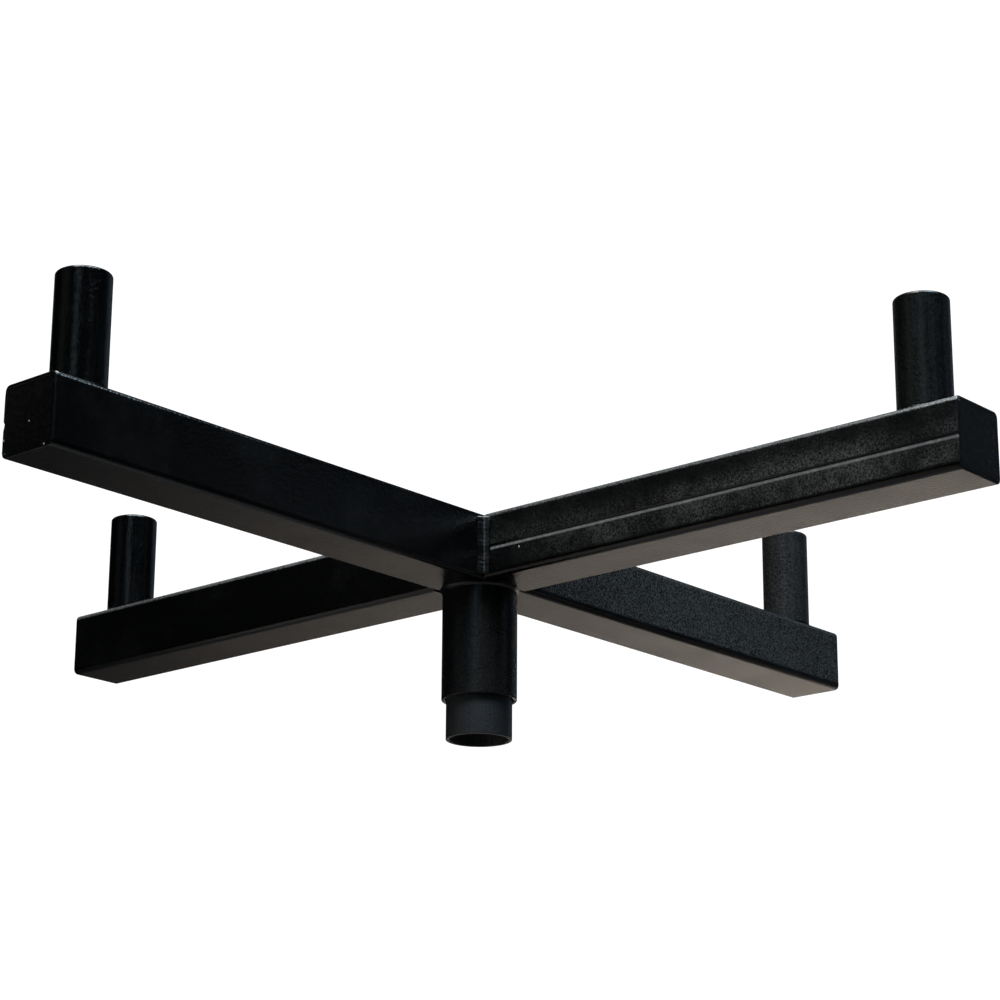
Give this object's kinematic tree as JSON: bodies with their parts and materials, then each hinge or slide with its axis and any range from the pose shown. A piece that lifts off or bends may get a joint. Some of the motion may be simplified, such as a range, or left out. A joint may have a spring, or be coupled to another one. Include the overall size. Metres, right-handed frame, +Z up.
{
  "type": "spigot cross head",
  "caption": "Level black steel cross of square tube on the top of a round pole, with a short upright round spigot near the end of each arm and a socket sleeve underneath.",
  "frame": {"origin": "centre of the pole's open lower end", "axes": "+Z up along the pole; the long square tube runs along Y, front arm towards -Y; the two short arms run along X, right arm towards +X"},
  "size_m": [0.62, 0.62, 0.176],
  "materials": {
    "frame_paint": "black semi-gloss powder coat",
    "spigot_paint": "black semi-gloss powder coat",
    "weld_paint": "black paint over weld beads",
    "pole_paint": "black satin powder coat",
    "plug_plastic": "moulded black plastic",
    "washer_nylon": "natural nylon"
  },
  "bodies": {
    "pole": {"pole_tube": "pole_paint", "pole_plug": "plug_plastic"},
    "washer": {"thrust_washer": "washer_nylon"},
    "head": {"through_tube": "frame_paint", "side_arm_right": "frame_paint", "side_arm_left": "frame_paint", "corner_weld_right": "weld_paint", "corner_weld_left": "weld_paint", "end_plate_front": "frame_paint", "end_plate_right": "frame_paint", "end_plate_rear": "frame_paint", "end_plate_left": "frame_paint", "spigot_front": "spigot_paint", "spigot_right": "spigot_paint", "spigot_rear": "spigot_paint", "spigot_left": "spigot_paint", "spigot_lid_front": "spigot_paint", "spigot_lid_right": "spigot_paint", "spigot_lid_rear": "spigot_paint", "spigot_lid_left": "spigot_paint", "spigot_weld_front": "weld_paint", "spigot_weld_right": "weld_paint", "spigot_weld_rear": "weld_paint", "spigot_weld_left": "weld_paint", "socket_sleeve": "frame_paint", "socket_weld": "weld_paint"}
  },
  "joints": [
    {"name": "head_turn", "type": "hinge", "parent": "pole", "child": "washer", "pos_m": [0, 0, 0.079], "axis": [0, 0, 1], "continuous": true},
    {"name": "head_lift", "type": "slide", "parent": "washer", "child": "head", "axis": [0, 0, 1], "range_m": [0, 0.075]}
  ]
}
